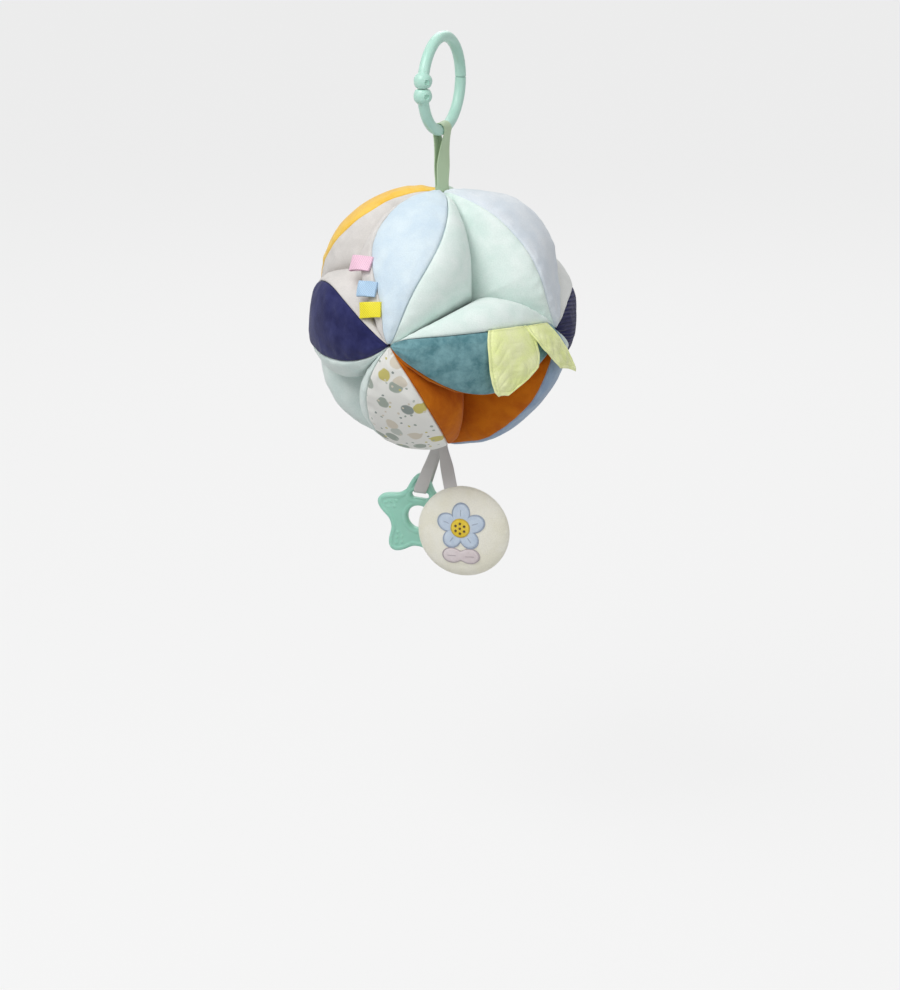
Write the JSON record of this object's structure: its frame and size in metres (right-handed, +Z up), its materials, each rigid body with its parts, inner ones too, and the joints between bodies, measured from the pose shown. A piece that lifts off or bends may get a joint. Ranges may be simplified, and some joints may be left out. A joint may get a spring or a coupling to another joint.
{
  "type": "hanging pram toy",
  "caption": "Soft hanging toy for a pram: a clip ring and ribbon carry a stuffed finger-grip ball of sewn pods, with a star teether and a padded rattle disc on ribbons below.",
  "frame": {"origin": "top of the clip ring's hole, where the ring rests on a bar", "axes": "+Z up, front is -Y, and the bar that the ring hangs on runs along X"},
  "size_m": [0.1802, 0.1683, 0.3507],
  "materials": {
    "mint_plastic": "satin moulded plastic",
    "sage_ribbon": "woven ribbon",
    "grey_ribbon": "satin ribbon",
    "sky_velour": "short velour",
    "pale_grey_velour": "short velour",
    "mustard_velour": "short velour",
    "sage_velour": "short velour",
    "teal_plush": "mottled plush",
    "navy_plush": "plush",
    "navy_ribbed_velour": "ribbed velour",
    "printed_cotton": "white cotton with a print of small pebbles",
    "steel_blue_velour": "short velour",
    "pale_mint_velour": "short velour",
    "white_velour": "short velour",
    "rust_velour": "short velour",
    "beige_velour": "short velour",
    "mint_velour": "short velour",
    "stuffing": "polyester fibre",
    "pink_ribbon": "woven ribbon",
    "blue_ribbon": "woven ribbon",
    "yellow_ribbon": "woven ribbon",
    "lime_plush": "plush",
    "mint_silicone": "matt food-safe elastomer",
    "cream_velour": "short velour",
    "capsule_plastic": "moulded plastic",
    "bead_plastic": "moulded plastic",
    "pale_blue_felt": "embroidered felt",
    "yellow_felt": "embroidered felt",
    "lilac_felt": "embroidered felt"
  },
  "bodies": {
    "ring_upper": {"ring_upper_arc": "mint_plastic"},
    "ring_lower": {"ring_lower_arc": "mint_plastic"},
    "strap": {"hanger_strap": "sage_ribbon"},
    "ball": {"strap_sewn_end": "sage_ribbon", "teether_sewn_end": "grey_ribbon", "disc_sewn_end": "grey_ribbon", "panel_top_front": "sky_velour", "panel_top_right": "pale_grey_velour", "panel_top_left": "mustard_velour", "panel_top_back": "sage_velour", "panel_front_right": "teal_plush", "panel_front_left": "navy_plush", "panel_front_bottom": "printed_cotton", "panel_right_bottom": "steel_blue_velour", "panel_left_bottom": "pale_mint_velour", "panel_right_back": "navy_ribbed_velour", "panel_left_back": "teal_plush", "panel_bottom_back": "mustard_velour", "stuffing_top_front": "stuffing", "stuffing_top_right": "stuffing", "stuffing_top_left": "stuffing", "stuffing_top_back": "stuffing", "stuffing_front_right": "stuffing", "stuffing_front_left": "stuffing", "stuffing_front_bottom": "stuffing", "stuffing_right_bottom": "stuffing", "stuffing_left_bottom": "stuffing", "stuffing_right_back": "stuffing", "stuffing_left_back": "stuffing", "stuffing_bottom_back": "stuffing", "lining_top_front_right": "mint_velour", "lining_top_front_left": "beige_velour", "lining_top_back_right": "white_velour", "lining_top_back_left": "steel_blue_velour", "lining_bottom_front_right": "rust_velour", "lining_bottom_front_left": "pale_mint_velour", "lining_bottom_back_right": "mint_velour", "lining_bottom_back_left": "beige_velour"},
    "pink_tag": {"tag_pink": "pink_ribbon"},
    "blue_tag": {"tag_blue": "blue_ribbon"},
    "yellow_tag": {"tag_yellow": "yellow_ribbon"},
    "front_leaf": {"leaf_front": "lime_plush"},
    "side_leaf": {"leaf_side": "lime_plush"},
    "teether_loop": {"teether_ribbon": "grey_ribbon"},
    "teether": {"teether_star": "mint_silicone"},
    "disc_loop": {"disc_ribbon": "grey_ribbon"},
    "disc": {"disc_front_cover": "cream_velour", "disc_back_cover": "cream_velour", "disc_front_wadding": "stuffing", "disc_back_wadding": "stuffing", "rattle_cup": "capsule_plastic", "rattle_lid": "capsule_plastic", "flower_petals": "pale_blue_felt", "flower_centre": "yellow_felt", "flower_leaves": "lilac_felt"},
    "beads": {"rattle_bead_1": "bead_plastic", "rattle_bead_2": "bead_plastic", "rattle_bead_3": "bead_plastic"}
  },
  "joints": [
    {"name": "ring_twist", "type": "hinge", "parent": "ring_upper", "child": "ring_lower", "pos_m": [0, 0.029, -0.0255], "axis": [0, 0, 1], "range_deg": [-25, 25], "stiffness_Nm_per_rad": 0.4},
    {"name": "strap_slide", "type": "hinge", "parent": "ring_lower", "child": "strap", "pos_m": [0, 0, -0.0255], "axis": [1, 0, 0], "range_deg": [-55, 55]},
    {"name": "ball_swing", "type": "hinge", "parent": "strap", "child": "ball", "pos_m": [0, 0, -0.0884], "axis": [0, 1, 0], "range_deg": [-60, 60]},
    {"name": "pink_tag_fold", "type": "hinge", "parent": "ball", "child": "pink_tag", "pos_m": [-0.01838, -0.06856, -0.12729], "axis": [0, 0.5736, 0.8191], "range_deg": [0, 70], "stiffness_Nm_per_rad": 0.0001},
    {"name": "blue_tag_fold", "type": "hinge", "parent": "ball", "child": "blue_tag", "pos_m": [-0.01384, -0.0766, -0.13958], "axis": [0, 0.4226, 0.9063], "range_deg": [0, 70], "stiffness_Nm_per_rad": 0.0001},
    {"name": "yellow_tag_fold", "type": "hinge", "parent": "ball", "child": "yellow_tag", "pos_m": [-0.00923, -0.08205, -0.15332], "axis": [0, 0.2588, 0.9659], "range_deg": [0, 70], "stiffness_Nm_per_rad": 0.0001},
    {"name": "front_leaf_lift", "type": "hinge", "parent": "ball", "child": "front_leaf", "pos_m": [0.06739, -0.04896, -0.16166], "axis": [-0.5874, -0.8093, 0.0062], "range_deg": [0, 60], "stiffness_Nm_per_rad": 0.001},
    {"name": "side_leaf_lift", "type": "hinge", "parent": "ball", "child": "side_leaf", "pos_m": [0.07897, -0.02673, -0.16312], "axis": [-0.3236, -0.9283, 0.1832], "range_deg": [0, 60], "stiffness_Nm_per_rad": 0.001},
    {"name": "teether_swing", "type": "hinge", "parent": "ball", "child": "teether_loop", "pos_m": [-0.0015, 0.0013, -0.2605], "axis": [1, 0, 0], "range_deg": [0, 70]},
    {"name": "teether_slip", "type": "slide", "parent": "teether_loop", "child": "teether", "axis": [0.1045, 0, 0.9945], "range_m": [0, 0.003]},
    {"name": "disc_ribbon_swing", "type": "hinge", "parent": "ball", "child": "disc_loop", "pos_m": [0.001, -0.0013, -0.2605], "axis": [-1, 0, 0], "range_deg": [0, 55]},
    {"name": "disc_swing", "type": "hinge", "parent": "disc_loop", "child": "disc", "pos_m": [0.01066, -0.01161, -0.28324], "axis": [-0.9418, -0.1661, -0.2924], "range_deg": [0, 45]},
    {"name": "rattle_shift", "type": "slide", "parent": "disc", "child": "beads", "axis": [0, 0, 1], "range_m": [0, 0.002]}
  ]
}
